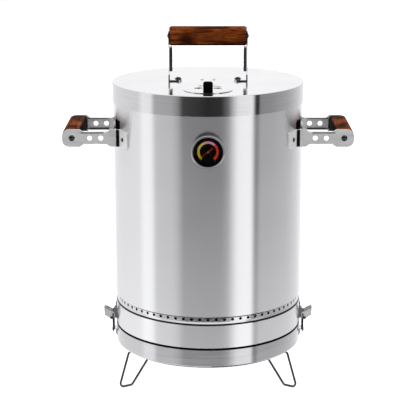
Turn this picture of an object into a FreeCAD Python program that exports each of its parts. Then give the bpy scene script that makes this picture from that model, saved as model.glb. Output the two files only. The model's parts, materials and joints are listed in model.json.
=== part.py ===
"""Vertical water smoker: a flat lid, a brushed barrel with a ring of draught holes, and a
base bowl on three wire legs. Millimetres, +Z up. The origin is on the floor under the
barrel's axis, the front (the thermometer side) faces -Y and +X is to the right."""

import FreeCAD, Part
import math
import os

# ---- driving dimensions -----------------------------------------------------------------
# Sheet-metal bodies
BARREL_RADIUS = 150.0
BARREL_SHEET = 1.0
BARREL_HEIGHT = 394.0
BOWL_HEIGHT = 29.5
BOWL_SHEET = 1.0
BOWL_LEDGE = 8.0
LEG_HEIGHT = 60.1
GASKET_THICK = 2.4
GASKET_WIDTH = 7.0
LID_SHEET = 0.9
LID_SKIRT = 30.7
LID_CLEARANCE = 0.6
LID_BEND = 1.6
RIM_ROUND = 0.45
PRESS_BEND = 3.0

# Draught groove round the foot of the barrel
GROOVE_BOTTOM = 37.6
GROOVE_HEIGHT = 13.2
GROOVE_DEPTH = 3.2
GROOVE_LOWER_SLOPE = 4.8
GROOVE_UPPER_SLOPE = 1.8
GROOVE_BEND = 0.8
DRAUGHT_HOLES = 72
DRAUGHT_HOLE_DIAMETER = 4.8

# Wire legs
LEG_WIRE = 3.6
LEG_FLAT = 0.3
LEG_FOOT_BEYOND_WALL = 16.5
LEG_FOOT_INNER_INSET = 8.0
LEG_TOP_OUTER_INSET = 3.5
LEG_TOP_INNER_INSET = 50.7
LEG_FOOT_BEND = 6.0
LEG_TOP_BEND = 5.0
LEG_AZIMUTHS = {"front_right": -30.0, "front_left": 210.0, "rear": 90.0}

# Wooden grips and the pressed steel arms that carry them
GRIP_LENGTH = 120.0
GRIP_WIDTH = 29.0
GRIP_THICK = 27.0
GRIP_ROUND = 7.0
ARM_SHEET = 2.0
ARM_PAD_LENGTH = 30.4
ARM_PAD_WIDTH = 27.7
ARM_PAD_ROUND = 11.0
ARM_NECK_WIDTH = 20.6
ARM_ROOT_WIDTH = 27.0
ARM_TAPER = 5.0
ARM_FLANGE_DEPTH = 6.0
ARM_NECK_LENGTH = 37.0
ARM_HOLE_DIAMETER = 7.5
ARM_HOLES_FROM_SCREW = (27.9, 45.0)
SIDE_GRIP_REACH = 61.4
SIDE_GRIP_BELOW_RIM = 80.0
SIDE_FLANGE_LENGTH = 26.0
LID_GRIP_RISE = 70.1
LID_FOOT_LENGTH = 19.0
LID_BOLT_FROM_ARM = 15.0
SCREW_DIAMETER = 5.0
SCREW_HEAD_DIAMETER = 9.6
SCREW_HEAD_HEIGHT = 2.2
SCREW_DEPTH = 26.0
BOLT_HEAD_DIAMETER = 11.0
BOLT_HEAD_HEIGHT = 3.2
NUT_ACROSS_FLATS = 8.0
NUT_HEIGHT = 4.0

# Thermometer
THERMOMETER_BELOW_RIM = 82.0
BEZEL_DIAMETER = 50.6
BEZEL_DEPTH = 7.9
BEZEL_BORDER = 2.95
BEZEL_LIP = 0.9
CASE_INSET = 1.6
THERMOMETER_DEPTH = 9.4
CASE_SHEET = 1.0
LENS_THICK = 1.1
DIAL_THICK = 0.8
DIAL_LEVEL = 3.0
NEEDLE_THICK = 0.5
NEEDLE_LEVEL = 4.6
NEEDLE_REACH = 17.0
NEEDLE_TAIL = 9.2
NEEDLE_COLD_ANGLE = 217.0
SPIGOT_RADIUS = 4.0
SPIGOT_LENGTH = 7.0
PROBE_RADIUS = 2.0
PROBE_LENGTH = 58.0
PROBE_NUT_FLATS = 13.0
PROBE_NUT_HEIGHT = 4.0

# Lid damper
VENT_RADIUS = 37.0
VENT_FROM_RIM = 20.0
VENT_SHEET = 1.0
VENT_GAP = 0.1
VENT_TURN = 60.0
VENT_HOLES = 3
VENT_HOLE_RADIUS = 6.5
VENT_HOLE_CIRCLE = 17.0
VENT_HUB_RADIUS = 2.5
VENT_HUB_HEAD = 5.0
VENT_STOP_CIRCLE = 30.0
VENT_STOP_ANGLE = 113.5
VENT_STOP_RADIUS = 2.0
VENT_STOP_HEAD = 3.5
VENT_SLOT_CLEARANCE = 0.3
TAB_WIDTH = 14.5
TAB_HEIGHT = 18.4
TAB_THICK = 4.4
TAB_ROUND = 3.5
LUG_WIDTH = 8.0
LUG_HEIGHT = 14.0
LUG_INSET = 0.3
TAB_ABOVE_DISC = 0.2
HANGER_LENGTH = 36.0
HANGER_WIDTH = 12.0
HANGER_DROP = 18.0
HANGER_SHEET = 1.5
HANGER_BACK = 5.0
HANGER_RIVET_OFFSET = 9.3
HANGER_HOLE_RADIUS = 3.0
HANGER_EYE_UP = 6.0
HANGER_RIVET_RADIUS = 1.6
HANGER_RIVET_HEAD = 3.0

# Toggle latches, in the plane through the barrel's axis
LATCH_SHEET = 1.2
LATCH_PIVOT_OUT = 8.8
LATCH_PIVOT_UP = 2.5
LATCH_PIN_RADIUS = 1.3
LATCH_PIN_HEAD = 2.1
LATCH_PIN_HEAD_HEIGHT = 0.8
EAR_INSIDE = 6.5
LEVER_INSIDE = 9.0
BAIL_HALF_WIDTH = 13.0
BAIL_WIRE = 2.2
BAIL_PIVOT_BACK = 2.8
BAIL_PIVOT_UP = 6.5
BAIL_FREE_PLAY = 0.7
BAIL_BEND = 2.4
CATCH_TOP = 14.9
CATCH_WIDTH = 20.0
CATCH_REACH = 8.5
CATCH_LEAF_HEIGHT = 11.0
CATCH_RIVET_OFFSET = 6.0
CATCH_RIVET_DROP = 6.5
LATCH_PLATE_HEIGHT = 30.0
LATCH_PLATE_WIDTH = 24.0
LATCH_PLATE_UP = 1.5
LATCH_RIVETS_UP = (13.0, 25.0)

# What stands inside
RACK_AZIMUTHS = (90.0, 210.0, 330.0)
RACK_WIDTH = 16.0
RACK_SHEET = 1.5
RACK_LEAF = 1.2
RACK_LEAF_HEIGHT = 16.0
RACK_LEAF_ABOVE_GROOVE = 2.0
RACK_REACH = 13.0
RACK_STEP = 7.0
UPPER_RACK_BELOW_PROBE = 64.0
LOWER_RACK_BELOW_UPPER = 85.0
PAN_RACK_BELOW_LOWER = 33.0
GRATE_OVERLAP = 7.0
LOWER_GRATE_EASE = 1.0
GRATE_RING_WIRE = 5.0
GRATE_BAR_WIRE = 4.5
GRATE_ROD_WIRE = 3.2
GRATE_PITCH = 16.0
GRATE_WELD = 0.5
DISH_SHEET = 1.0
DISH_RIM = 6.0
PAN_DEPTH = 52.0
PAN_TAPER = 16.0
COAL_BOWL_GAP = 29.0
COAL_BOWL_DEPTH = 35.0
COAL_BOWL_TAPER = 16.0
COAL_FOOT_HEIGHT = 11.0
COAL_FOOT_RADIUS = 6.0
COAL_FOOT_INSET = 42.0
COAL_HOLE_RADIUS = 4.0
COAL_HOLE_CIRCLES = {30.0: 8, 55.0: 14}
COAL_GRATE_GAP = 28.0

# Fits
RUNNING_CLEARANCE = 0.05
SEAT_GAP = 0.05
RIVET_RADIUS = 2.0
RIVET_HEAD_RADIUS = 3.6
RIVET_HEAD_HEIGHT = 1.6
RIVET_TAIL_HEIGHT = 1.0
RIVET_TAIL_SHARE = 0.8

# ---- heights and radii that follow ------------------------------------------------------
bowl_floor = LEG_HEIGHT
bowl_top = bowl_floor + BOWL_HEIGHT
barrel_bottom = bowl_top + GASKET_THICK
barrel_top = barrel_bottom + BARREL_HEIGHT
barrel_inside = BARREL_RADIUS - BARREL_SHEET
lid_top = barrel_top + LID_SHEET
lid_radius = BARREL_RADIUS + LID_CLEARANCE + LID_SHEET
groove_bottom = barrel_bottom + GROOVE_BOTTOM
groove_top = groove_bottom + GROOVE_HEIGHT
groove_radius = BARREL_RADIUS - GROOVE_DEPTH
side_grip_radius = BARREL_RADIUS + SIDE_GRIP_REACH
side_grip_height = barrel_top - SIDE_GRIP_BELOW_RIM
lid_grip_height = lid_top + LID_GRIP_RISE
arm_inner_face = GRIP_LENGTH / 2.0
arm_outer_face = arm_inner_face + ARM_SHEET
thermometer_height = barrel_top - THERMOMETER_BELOW_RIM
latch_pivot = (BARREL_RADIUS + LATCH_PIVOT_OUT, barrel_bottom + LATCH_PIVOT_UP)
bail_pivot = (latch_pivot[0] - BAIL_PIVOT_BACK, latch_pivot[1] + BAIL_PIVOT_UP)
catch_top = bowl_floor + CATCH_TOP
lid_bolt_offset = arm_outer_face - LID_BOLT_FROM_ARM
vent_forward = BARREL_RADIUS - VENT_RADIUS - VENT_FROM_RIM
coal_bowl_radius = barrel_inside - COAL_BOWL_GAP
upper_rack_level = thermometer_height - UPPER_RACK_BELOW_PROBE
lower_rack_level = upper_rack_level - LOWER_RACK_BELOW_UPPER
rack_levels = {
    "upper": upper_rack_level,
    "lower": lower_rack_level,
    "pan": lower_rack_level - PAN_RACK_BELOW_LOWER,
}
rack_inside = {
    "upper": barrel_inside - RACK_REACH,
    "lower": barrel_inside - RACK_REACH - RACK_STEP,
    "pan": barrel_inside - RACK_REACH - 2.0 * RACK_STEP,
}
# The lower grate is a little smaller, so that it passes the upper grate's brackets.
grate_radius = {
    "upper": rack_inside["upper"] + GRATE_OVERLAP,
    "lower": rack_inside["lower"] + GRATE_OVERLAP - LOWER_GRATE_EASE,
}

ORIGIN = FreeCAD.Vector(0, 0, 0)
X_AXIS = FreeCAD.Vector(1, 0, 0)
Y_AXIS = FreeCAD.Vector(0, 1, 0)
Z_AXIS = FreeCAD.Vector(0, 0, 1)


# ---- building blocks --------------------------------------------------------------------
def point(x, y, z):
    return FreeCAD.Vector(x, y, z)


def rounded_wire(points, bends=None, closed=True):
    """Straight runs through the points, each corner turned with a tangent arc."""
    count = len(points)
    bends = bends or {}
    runs = []
    for index, corner in enumerate(points):
        radius = bends.get(index, 0.0)
        is_end = not closed and index in (0, count - 1)
        if radius <= 0.0 or is_end:
            runs.append((corner, None, corner))
            continue
        back = (points[index - 1] - corner).normalize()
        ahead = (points[(index + 1) % count] - corner).normalize()
        half_angle = back.getAngle(ahead) / 2.0
        bisector = (back + ahead).normalize()
        setback = radius / math.tan(half_angle)
        depth = radius / math.sin(half_angle) - radius
        runs.append((corner + back * setback, corner + bisector * depth, corner + ahead * setback))
    edges = []
    for index, (start, middle, end) in enumerate(runs):
        if middle is not None:
            edges.append(Part.Arc(start, middle, end).toShape())
        if closed or index < count - 1:
            following = runs[(index + 1) % count][0]
            if (following - end).Length > 1e-6:
                edges.append(Part.LineSegment(end, following).toShape())
    return Part.Wire(edges)


def turned(outline, bends=None):
    """A solid of revolution about Z from an outline of (radius, height) points."""
    wire = rounded_wire([point(r, 0, z) for r, z in outline], bends)
    return Part.Face(wire).revolve(ORIGIN, Z_AXIS, 360.0)


def plate_xz(outline, y_start, y_end, bends=None):
    """A flat plate: an outline of (x, z) points, thickened from y_start to y_end."""
    wire = rounded_wire([point(x, y_start, z) for x, z in outline], bends)
    return Part.Face(wire).extrude(point(0, y_end - y_start, 0))


def block(x_range, y_range, z_range):
    size = [abs(b - a) for a, b in (x_range, y_range, z_range)]
    corner = point(min(x_range), min(y_range), min(z_range))
    return Part.makeBox(size[0], size[1], size[2], corner)


def rod(radius, start, end):
    run = end - start
    return Part.makeCylinder(radius, run.Length, start, run)


def bent_wire(points, bends, diameter, closed=False):
    """Round wire along straight runs and tangent arcs."""
    path = rounded_wire(points, bends, closed)
    start = path.OrderedEdges[0]
    first = start.firstVertex(True).Point
    tangent = start.tangentAt(start.FirstParameter)
    section = Part.Wire(Part.makeCircle(diameter / 2.0, first, tangent))
    return path.makePipeShell([section], True, False)


def joined(shapes):
    return shapes[0].multiFuse(shapes[1:]).removeSplitter()


def without(shape, cutters):
    return shape.cut(Part.makeCompound(cutters))


def at_azimuth(shape, degrees):
    """Turns a piece built on the +X side to another side of the barrel."""
    copy = shape.copy()
    copy.rotate(ORIGIN, Z_AXIS, degrees)
    return copy


def mirrored(shape, normal):
    return shape.mirror(ORIGIN, normal)


def curved_plate(inner, outer, width, bottom, top):
    """A leaf that follows the barrel's round, built on the +X side."""
    height = top - bottom
    ring = Part.makeCylinder(outer, height, point(0, 0, bottom))
    ring = ring.cut(Part.makeCylinder(inner, height, point(0, 0, bottom)))
    return ring.common(block((0, outer + 1.0), (-width / 2.0, width / 2.0), (bottom, top)))


def dome(radius, height):
    """A low domed head on z = 0, its crown up +Z."""
    sphere_radius = (radius ** 2 + height ** 2) / (2.0 * height)
    ball = Part.makeSphere(sphere_radius, point(0, 0, height - sphere_radius))
    return ball.common(Part.makeCylinder(radius, height))


def rivet(head_seat, tail_seat, radius=RIVET_RADIUS, head=RIVET_HEAD_RADIUS):
    """A rivet from the outer sheet's face at head_seat to the inner one at tail_seat."""
    grip = (head_seat - tail_seat).Length
    inner_end = point(0, 0, -grip - RIVET_TAIL_HEIGHT)
    shank = Part.makeCylinder(radius, grip + RIVET_TAIL_HEIGHT, inner_end)
    tail = Part.makeCylinder(RIVET_TAIL_SHARE * head, RIVET_TAIL_HEIGHT, inner_end)
    shape = joined([dome(head, RIVET_HEAD_HEIGHT), shank, tail])
    turn = FreeCAD.Rotation(Z_AXIS, head_seat - tail_seat)
    shape.Placement = FreeCAD.Placement(head_seat, turn)
    return shape


def hexagon(across_flats, height, bore):
    """A plain hexagon nut standing on z = 0."""
    corner = across_flats / math.sqrt(3.0)
    points = [
        point(corner * math.cos(math.radians(60 * i)), corner * math.sin(math.radians(60 * i)), 0)
        for i in range(6)
    ]
    nut = Part.Face(rounded_wire(points)).extrude(point(0, 0, height))
    return nut.cut(Part.makeCylinder(bore, height))


def radial(radius, y, z):
    """The point on a barrel-axis cylinder of this radius at this y, on the +X side."""
    return point(math.sqrt(radius ** 2 - y ** 2), y, z)


def outward(y):
    """The barrel's outward normal on the +X side where it crosses this y."""
    return point(math.sqrt(BARREL_RADIUS ** 2 - y ** 2), y, 0).normalize()


def radial_rivet(y, z, sheet_outside):
    """A rivet through the barrel or bowl wall, its head on a sheet of this outer radius."""
    normal = outward(y)
    lift = point(0, 0, z)
    return rivet(normal * sheet_outside + lift, normal * (barrel_inside - 0.1) + lift)


def radial_hole(y, z, radius):
    normal = outward(y)
    lift = point(0, 0, z)
    return rod(radius, normal * (barrel_inside - 5.0) + lift, normal * (BARREL_RADIUS + 9.0) + lift)


# ---- base: bowl, gasket, legs, catches --------------------------------------------------
catch_rivets_at = [(side * CATCH_RIVET_OFFSET, catch_top - CATCH_RIVET_DROP) for side in (-1, 1)]


def both_sides(shape):
    return [shape, mirrored(shape, X_AXIS)]


def base_bowl():
    wall_inside = BARREL_RADIUS - BOWL_SHEET
    ledge_inside = BARREL_RADIUS - BOWL_LEDGE
    outline = [
        (0, bowl_floor), (BARREL_RADIUS, bowl_floor),
        (BARREL_RADIUS, bowl_top), (ledge_inside, bowl_top),
        (ledge_inside, bowl_top - BOWL_SHEET), (wall_inside, bowl_top - BOWL_SHEET),
        (wall_inside, bowl_floor + BOWL_SHEET), (0, bowl_floor + BOWL_SHEET),
    ]
    bowl = turned(outline, {1: PRESS_BEND, 6: PRESS_BEND - BOWL_SHEET})
    holes = [radial_hole(y, z, RIVET_RADIUS + RUNNING_CLEARANCE) for y, z in catch_rivets_at]
    holes += [mirrored(hole, X_AXIS) for hole in holes]
    return without(bowl, holes)


def base_gasket():
    outer = BARREL_RADIUS - 0.4
    outline = [
        (outer - GASKET_WIDTH, bowl_top), (outer, bowl_top),
        (outer, barrel_bottom), (outer - GASKET_WIDTH, barrel_bottom),
    ]
    return turned(outline)


def wire_leg(azimuth):
    foot = LEG_WIRE / 2.0 - LEG_FLAT
    top = bowl_floor - LEG_WIRE / 2.0
    top_outer = BARREL_RADIUS - LEG_TOP_OUTER_INSET
    top_inner = BARREL_RADIUS - LEG_TOP_INNER_INSET
    foot_outer = BARREL_RADIUS + LEG_FOOT_BEYOND_WALL - LEG_WIRE / 2.0
    foot_inner = BARREL_RADIUS - LEG_FOOT_INNER_INSET
    points = [
        point((top_outer + top_inner) / 2.0, 0, top), point(top_outer, 0, top),
        point(foot_outer, 0, foot), point(foot_inner, 0, foot), point(top_inner, 0, top),
    ]
    bends = {1: LEG_TOP_BEND, 2: LEG_FOOT_BEND, 3: LEG_FOOT_BEND, 4: LEG_TOP_BEND}
    loop = bent_wire(points, bends, LEG_WIRE, closed=True)
    ground = block((0, 2 * foot_outer), (-LEG_WIRE, LEG_WIRE), (-LEG_WIRE, 0))
    return at_azimuth(loop.cut(ground), azimuth)


def catch():
    outer = BARREL_RADIUS + SEAT_GAP + LATCH_SHEET
    leaf_bottom = catch_top - CATCH_LEAF_HEIGHT
    leaf = curved_plate(BARREL_RADIUS + SEAT_GAP, outer, CATCH_WIDTH, leaf_bottom, catch_top)
    tongue = block(
        (BARREL_RADIUS - 2.0, BARREL_RADIUS + CATCH_REACH),
        (-CATCH_WIDTH / 2.0, CATCH_WIDTH / 2.0),
        (catch_top - LATCH_SHEET, catch_top),
    )
    clear = Part.makeCylinder(BARREL_RADIUS + SEAT_GAP, 40.0, point(0, 0, catch_top - 20.0))
    shape = joined([leaf, tongue.cut(clear)])
    holes = [radial_hole(y, z, RIVET_RADIUS + RUNNING_CLEARANCE) for y, z in catch_rivets_at]
    return without(shape, holes)


def catch_rivets():
    seat = BARREL_RADIUS + 2 * SEAT_GAP + LATCH_SHEET
    return Part.makeCompound([radial_rivet(y, z, seat) for y, z in catch_rivets_at])


# ---- barrel -----------------------------------------------------------------------------
latch_rivets_at = [(0.0, barrel_bottom + up) for up in LATCH_RIVETS_UP]
side_rivet_y = arm_outer_face + 0.47 * SIDE_FLANGE_LENGTH


def barrel_shell():
    def skin(offset):
        return [
            (BARREL_RADIUS - offset, barrel_bottom),
            (BARREL_RADIUS - offset, groove_bottom),
            (groove_radius - offset, groove_bottom + GROOVE_LOWER_SLOPE),
            (groove_radius - offset, groove_top - GROOVE_UPPER_SLOPE),
            (BARREL_RADIUS - offset, groove_top),
            (BARREL_RADIUS - offset, barrel_top),
        ]

    outline = skin(0.0) + skin(BARREL_SHEET)[::-1]
    bends = {corner: GROOVE_BEND for corner in (1, 2, 3, 4, 7, 8, 9, 10)}
    bends.update({5: RIM_ROUND, 6: RIM_ROUND})
    shell = turned(outline, bends)
    hole_height = groove_bottom + (GROOVE_LOWER_SLOPE + GROOVE_HEIGHT - GROOVE_UPPER_SLOPE) / 2.0
    holes = []
    for index in range(DRAUGHT_HOLES):
        start = point(groove_radius - 4.0, 0, hole_height)
        end = point(groove_radius + 4.0, 0, hole_height)
        hole = rod(DRAUGHT_HOLE_DIAMETER / 2.0, start, end)
        holes.append(at_azimuth(hole, index * 360.0 / DRAUGHT_HOLES - 90.0))
    fixings = [radial_hole(y, z, RIVET_RADIUS + RUNNING_CLEARANCE) for y, z in latch_rivets_at]
    for y in (-side_rivet_y, side_rivet_y):
        fixings.append(radial_hole(y, side_grip_height, RIVET_RADIUS + RUNNING_CLEARANCE))
    fixings += [mirrored(hole, X_AXIS) for hole in fixings]
    probe_hole = rod(
        SPIGOT_RADIUS + RUNNING_CLEARANCE,
        point(0, -barrel_inside + 5.0, thermometer_height),
        point(0, -BARREL_RADIUS - 5.0, thermometer_height),
    )
    return without(shell, holes + fixings + [probe_hole])


def pressed_arm(root, screw_at):
    """The pressed strip beside a grip: a rounded pad, a neck with turned-in edges and a wide
    root. It runs along +X from root, its outer face at y = arm_outer_face."""
    pad_end = screw_at + ARM_PAD_LENGTH / 2.0
    pad_start = screw_at - ARM_PAD_LENGTH / 2.0
    neck_end = pad_start - ARM_TAPER / 2.0
    neck_start = neck_end - ARM_NECK_LENGTH
    root_end = max(root + 1.0, neck_start - ARM_TAPER)
    half_root = ARM_ROOT_WIDTH / 2.0
    half_neck = ARM_NECK_WIDTH / 2.0
    half_pad = ARM_PAD_WIDTH / 2.0
    upper = [
        (root, half_root), (root_end, half_root), (neck_start, half_neck),
        (neck_end, half_neck), (pad_start + ARM_TAPER / 2.0, half_pad), (pad_end, half_pad),
    ]
    outline = upper + [(x, -z) for x, z in upper[::-1]]
    bends = {5: ARM_PAD_ROUND, 6: ARM_PAD_ROUND, 1: 1.5, 10: 1.5}
    blank = plate_xz(outline, arm_inner_face, arm_outer_face, bends)
    middle = block((neck_start, neck_end), (0, 2 * arm_outer_face), (-half_root, half_root))
    edge_tip = arm_outer_face - ARM_FLANGE_DEPTH
    channel = [
        (arm_outer_face, -half_neck), (arm_outer_face, half_neck),
        (edge_tip, half_neck), (edge_tip, half_neck - ARM_SHEET),
        (arm_inner_face, half_neck - ARM_SHEET), (arm_inner_face, ARM_SHEET - half_neck),
        (edge_tip, ARM_SHEET - half_neck), (edge_tip, -half_neck),
    ]
    section = rounded_wire(
        [point(neck_start, y, z) for y, z in channel],
        {0: 1.2 * ARM_SHEET, 1: 1.2 * ARM_SHEET, 4: 0.2 * ARM_SHEET, 5: 0.2 * ARM_SHEET},
    )
    neck = Part.Face(section).extrude(point(neck_end - neck_start, 0, 0))
    arm = joined([blank.cut(middle), neck])
    drills = []
    bores = [(0.0, SCREW_DIAMETER)] + [(offset, ARM_HOLE_DIAMETER) for offset in ARM_HOLES_FROM_SCREW]
    for offset, diameter in bores:
        start = point(screw_at - offset, arm_inner_face - 10.0, 0)
        end = point(screw_at - offset, arm_outer_face + 10.0, 0)
        drills.append(rod(diameter / 2.0 + RUNNING_CLEARANCE, start, end))
    return without(arm, drills)


def side_arm():
    """The arm on the right, behind the grip: its root leaf lies back along the barrel."""
    seat = BARREL_RADIUS + SEAT_GAP
    flange_end = arm_outer_face + SIDE_FLANGE_LENGTH
    half_root = ARM_ROOT_WIDTH / 2.0
    clear = Part.makeCylinder(seat, 2 * ARM_ROOT_WIDTH, point(0, 0, -ARM_ROOT_WIDTH))
    arm = pressed_arm(seat * 0.8, side_grip_radius).cut(clear)
    leaf = Part.makeCylinder(seat + ARM_SHEET, ARM_ROOT_WIDTH, point(0, 0, -half_root)).cut(clear)
    window = rounded_wire(
        [
            point(0, arm_inner_face, -half_root), point(0, flange_end, -half_root),
            point(0, flange_end, half_root), point(0, arm_inner_face, half_root),
        ],
        {1: 5.0, 2: 5.0},
    )
    leaf = leaf.common(Part.Face(window).extrude(point(2 * seat, 0, 0)))
    shape = joined([arm, leaf])
    shape = shape.cut(radial_hole(side_rivet_y, 0.0, RIVET_RADIUS + RUNNING_CLEARANCE))
    shape.translate(point(0, 0, side_grip_height))
    return shape


def wooden_grip(screw_at):
    """A turned block between two arms, along Y, drilled at each end for its screw."""
    half_width = GRIP_WIDTH / 2.0
    half_thick = GRIP_THICK / 2.0
    outline = [
        (screw_at - half_width, -half_thick), (screw_at + half_width, -half_thick),
        (screw_at + half_width, half_thick), (screw_at - half_width, half_thick),
    ]
    grip = plate_xz(outline, -arm_inner_face, arm_inner_face, {i: GRIP_ROUND for i in range(4)})
    drills = []
    for side in (-1, 1):
        start = point(screw_at, side * (arm_inner_face - SCREW_DEPTH), 0)
        end = point(screw_at, side * arm_inner_face, 0)
        drills.append(rod(SCREW_DIAMETER / 2.0 + RUNNING_CLEARANCE, start, end))
    return without(grip, drills)


def grip_screws(screw_at):
    """The two domed screws that hold a grip between its arms."""
    length = SCREW_DEPTH + ARM_SHEET - 1.0
    screw = joined([
        dome(SCREW_HEAD_DIAMETER / 2.0, SCREW_HEAD_HEIGHT),
        Part.makeCylinder(SCREW_DIAMETER / 2.0, length, point(0, 0, -length)),
    ])
    screw.rotate(ORIGIN, X_AXIS, -90.0)
    screw.translate(point(screw_at, arm_outer_face + SEAT_GAP, 0))
    return Part.makeCompound([screw, mirrored(screw, Y_AXIS)])


def raised(shape, height):
    copy = shape.copy()
    copy.translate(point(0, 0, height))
    return copy


def side_arm_rivets():
    seat = BARREL_RADIUS + 2 * SEAT_GAP + ARM_SHEET
    ys = (-side_rivet_y, side_rivet_y)
    return Part.makeCompound([radial_rivet(y, side_grip_height, seat) for y in ys])


def rack_brackets(level, inside):
    """Three spot-welded angle brackets that carry a grate or the water pan."""
    outer = barrel_inside - SEAT_GAP
    leaf_foot = max(level - RACK_LEAF_HEIGHT, groove_top + RACK_LEAF_ABOVE_GROOVE)
    leaf = curved_plate(outer - RACK_LEAF, outer, RACK_WIDTH, leaf_foot, level)
    ledge = curved_plate(inside, outer, RACK_WIDTH, level - RACK_SHEET, level)
    bracket = joined([leaf, ledge])
    return Part.makeCompound([at_azimuth(bracket, azimuth) for azimuth in RACK_AZIMUTHS])


# ---- thermometer: built on Z with the barrel's skin at z = 0, then laid to face -Y ------
def on_the_front(shape):
    copy = shape.copy()
    copy.rotate(ORIGIN, X_AXIS, 90.0)
    copy.translate(point(0, -BARREL_RADIUS, thermometer_height))
    return copy


bezel_radius = BEZEL_DIAMETER / 2.0
face_radius = bezel_radius - BEZEL_BORDER
case_radius = bezel_radius - CASE_INSET
case_bore = case_radius - CASE_SHEET
lens_top = THERMOMETER_DEPTH - BEZEL_LIP - SEAT_GAP


def thermometer_case():
    back = 0.2
    outline = [
        (PROBE_RADIUS + RUNNING_CLEARANCE, -SPIGOT_LENGTH), (SPIGOT_RADIUS, -SPIGOT_LENGTH),
        (SPIGOT_RADIUS, back), (case_radius, back), (case_radius, lens_top),
        (case_bore, lens_top), (case_bore, DIAL_LEVEL), (case_bore - 1.5, DIAL_LEVEL),
        (case_bore - 1.5, back + CASE_SHEET), (PROBE_RADIUS + RUNNING_CLEARANCE, back + CASE_SHEET),
    ]
    return turned(outline, {3: 0.8})


def thermometer_bezel():
    start = THERMOMETER_DEPTH - BEZEL_DEPTH
    outline = [
        (case_radius + SEAT_GAP, start), (bezel_radius, start), (bezel_radius, THERMOMETER_DEPTH),
        (face_radius, THERMOMETER_DEPTH), (face_radius, THERMOMETER_DEPTH - BEZEL_LIP),
        (case_radius + SEAT_GAP, THERMOMETER_DEPTH - BEZEL_LIP),
    ]
    return turned(outline, {2: 2.2, 3: 0.4})


def thermometer_lens():
    return Part.makeCylinder(case_bore - SEAT_GAP, LENS_THICK, point(0, 0, lens_top - LENS_THICK))


def thermometer_dial():
    disc = Part.makeCylinder(case_bore - SEAT_GAP, DIAL_THICK, point(0, 0, DIAL_LEVEL))
    return disc.cut(Part.makeCylinder(1.3, DIAL_THICK, point(0, 0, DIAL_LEVEL)))


def thermometer_needle():
    """Pointer, counterweight, hub and staff, laid along +X and turned to the cold mark."""
    blade = [
        (NEEDLE_REACH, 0.25), (0, 1.0), (-NEEDLE_TAIL, 1.7),
        (-NEEDLE_TAIL, -1.7), (0, -1.0), (NEEDLE_REACH, -0.25),
    ]
    wire = rounded_wire([point(x, y, NEEDLE_LEVEL) for x, y in blade])
    pointer = Part.Face(wire).extrude(point(0, 0, NEEDLE_THICK))
    hub = Part.makeCylinder(2.3, 2.0 * NEEDLE_THICK, point(0, 0, NEEDLE_LEVEL - 0.1))
    staff = Part.makeCylinder(0.9, NEEDLE_LEVEL - 1.6, point(0, 0, 1.6))
    needle = joined([pointer, hub, staff])
    needle.rotate(ORIGIN, Z_AXIS, NEEDLE_COLD_ANGLE)
    return needle


def thermometer_probe():
    tube = Part.makeCylinder(PROBE_RADIUS, PROBE_LENGTH, point(0, 0, -PROBE_LENGTH + 1.0))
    return tube.fuse(Part.makeSphere(PROBE_RADIUS, point(0, 0, -PROBE_LENGTH + 1.0))).removeSplitter()


def thermometer_nut():
    nut = hexagon(PROBE_NUT_FLATS, PROBE_NUT_HEIGHT, SPIGOT_RADIUS + RUNNING_CLEARANCE)
    nut.translate(point(0, 0, -BARREL_SHEET - 0.3 - PROBE_NUT_HEIGHT))
    return nut


# ---- toggle latch, built on the +X side -------------------------------------------------
def from_latch_pivot(offsets):
    return [(latch_pivot[0] + x, latch_pivot[1] + z) for x, z in offsets]


def latch_pair(outline, inside, bends):
    """The same cheek on both sides of the latch, its inner face at y = inside."""
    cheek = plate_xz(outline, inside, inside + LATCH_SHEET, bends)
    return [cheek, mirrored(cheek, Y_AXIS)]


def pivot_bore(place, radius):
    half = BAIL_HALF_WIDTH + 5.0
    return rod(radius, point(place[0], -half, place[1]), point(place[0], half, place[1]))


def latch_base():
    seat = BARREL_RADIUS + SEAT_GAP
    bottom = barrel_bottom + LATCH_PLATE_UP
    top = bottom + LATCH_PLATE_HEIGHT
    plate = curved_plate(seat, seat + LATCH_SHEET, LATCH_PLATE_WIDTH, bottom, top)
    ear = from_latch_pivot([
        (-10.5, 17.0), (-10.5, 1.2), (-2.6, -3.0), (3.2, -3.0), (3.2, 3.2), (-6.2, 17.0),
    ])
    cheeks = latch_pair(ear, EAR_INSIDE, {3: 2.8, 4: 2.8, 5: 2.0})
    clear = Part.makeCylinder(seat, 60.0, point(0, 0, barrel_bottom - 20.0))
    shape = joined([plate] + [cheek.cut(clear) for cheek in cheeks])
    holes = [radial_hole(y, z, RIVET_RADIUS + RUNNING_CLEARANCE) for y, z in latch_rivets_at]
    return without(shape, holes + [pivot_bore(latch_pivot, LATCH_PIN_RADIUS + RUNNING_CLEARANCE)])


def latch_base_rivets():
    seat = BARREL_RADIUS + 2 * SEAT_GAP + LATCH_SHEET
    return Part.makeCompound([radial_rivet(y, z, seat) for y, z in latch_rivets_at])


def latch_pin():
    outside = LEVER_INSIDE + LATCH_SHEET + 0.1
    x, z = latch_pivot
    shank = rod(LATCH_PIN_RADIUS, point(x, -outside, z), point(x, outside, z))
    tip = outside + LATCH_PIN_HEAD_HEIGHT
    heads = [rod(LATCH_PIN_HEAD, point(x, side * outside, z), point(x, side * tip, z)) for side in (-1, 1)]
    return joined([shank] + heads)


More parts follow.
